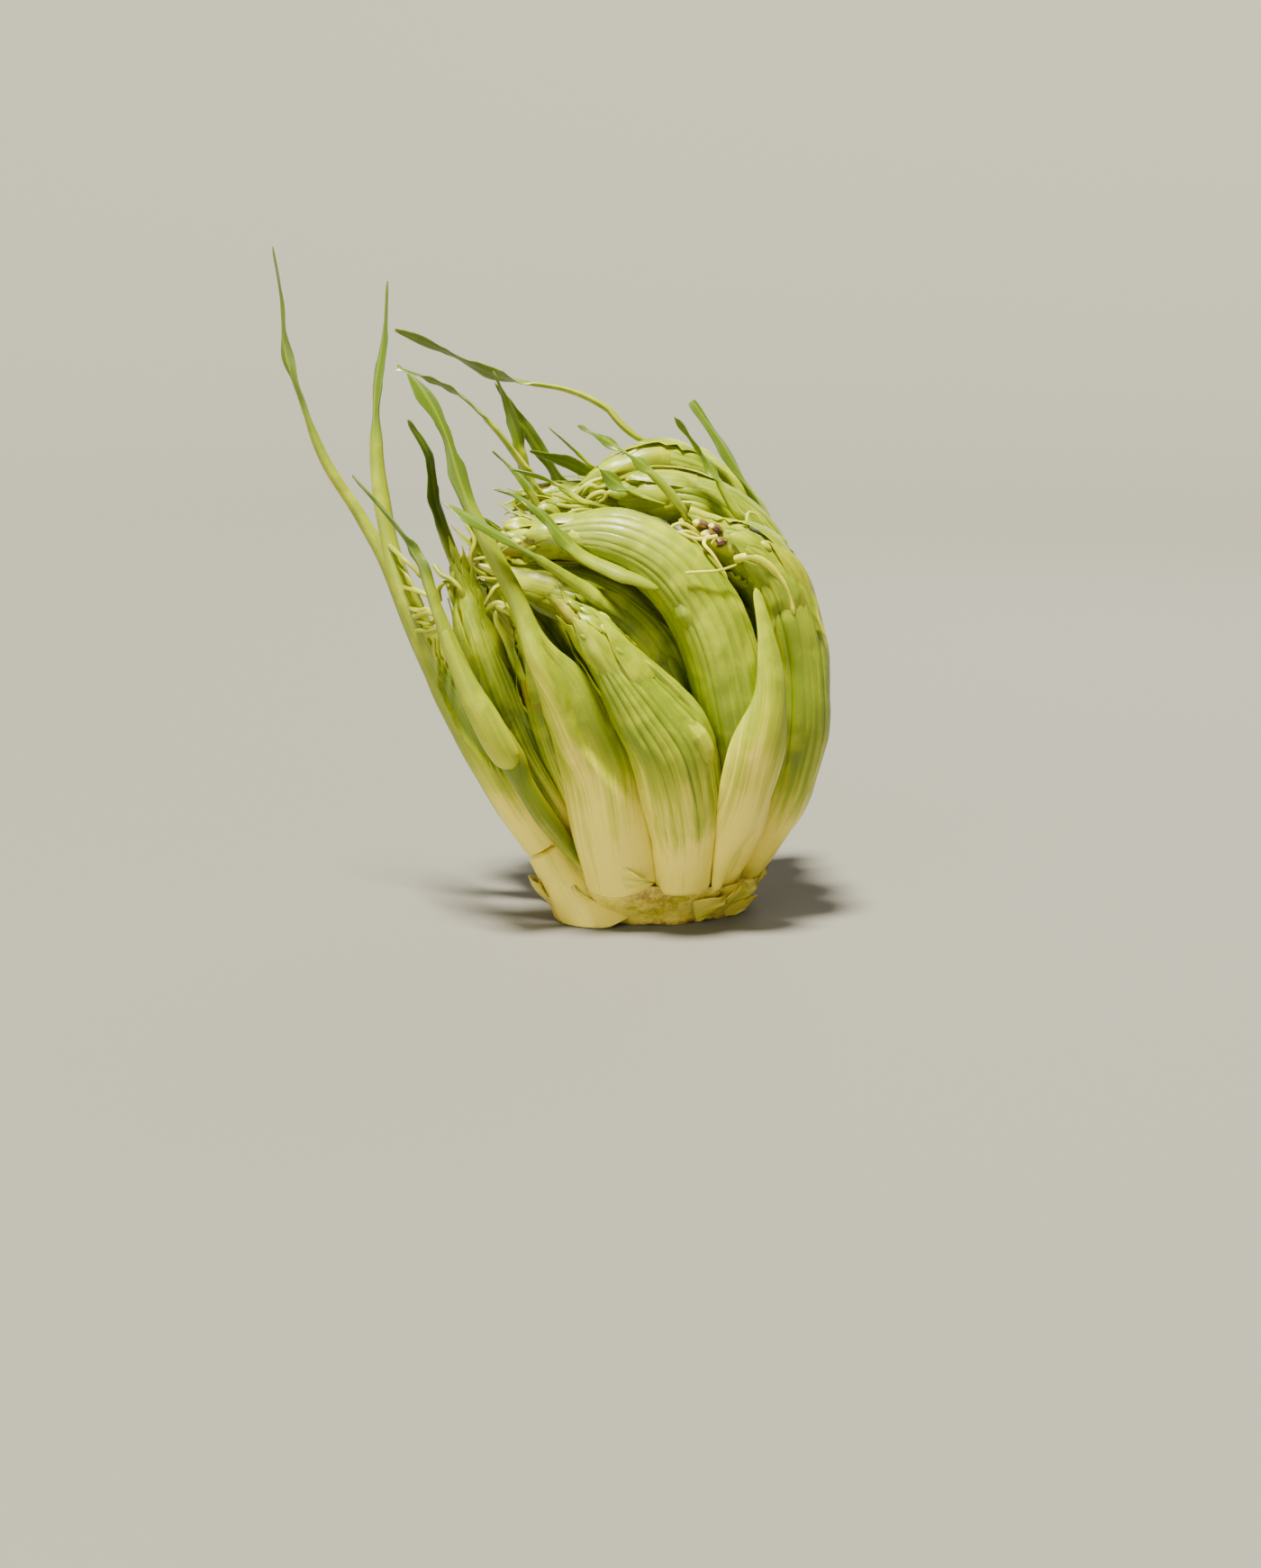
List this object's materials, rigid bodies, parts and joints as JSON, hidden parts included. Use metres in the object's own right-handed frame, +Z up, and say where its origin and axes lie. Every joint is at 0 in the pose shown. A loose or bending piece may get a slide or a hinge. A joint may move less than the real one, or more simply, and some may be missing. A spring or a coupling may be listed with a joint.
{
  "type": "puntarelle head",
  "caption": "Heart of Catalogna chicory: fat ribbed shoots bending over a cut crown, with thin toothed leaves; stands on its cut base",
  "frame": {"origin": "centre of the flat cut under the crown, on the surface it stands on", "axes": "+Z up from the cut, the longest way; the shoots bend over towards -X; -Y is the side that faces the camera in the picture"},
  "size_m": [0.1506, 0.1008, 0.1801],
  "materials": {
    "cut_crown": "moist, cut plant flesh, cream white and slightly browned",
    "ribbed_shoot": "waxy, translucent plant skin, cream at the foot to yellow green at the tip",
    "leaf_stalk": "waxy leaf stalk, cream at the sheath to dark green at the blade"
  },
  "bodies": {
    "root": {"crown": "cut_crown", "shoot_front_spear": "ribbed_shoot", "shoot_great_arch": "ribbed_shoot", "shoot_inner_arch": "ribbed_shoot", "shoot_right": "ribbed_shoot", "shoot_top_arch": "ribbed_shoot", "shoot_crest": "ribbed_shoot", "shoot_middle": "ribbed_shoot", "shoot_left_spear": "ribbed_shoot", "shoot_bud": "ribbed_shoot", "shoot_left_inner": "ribbed_shoot", "shoot_left_back": "ribbed_shoot", "shoot_back_spear": "ribbed_shoot", "shoot_back_arch": "ribbed_shoot", "shoot_back_inner": "ribbed_shoot", "shoot_heart": "ribbed_shoot", "leaf_front_stalk": "leaf_stalk", "leaf_pale_sheath": "leaf_stalk", "leaf_right": "leaf_stalk", "leaf_left_stalk": "leaf_stalk", "leaf_left_outer": "leaf_stalk", "leaf_left_fold": "leaf_stalk", "leaf_back_right": "leaf_stalk", "leaf_back": "leaf_stalk", "leaf_back_left": "leaf_stalk"}
  },
  "joints": []
}
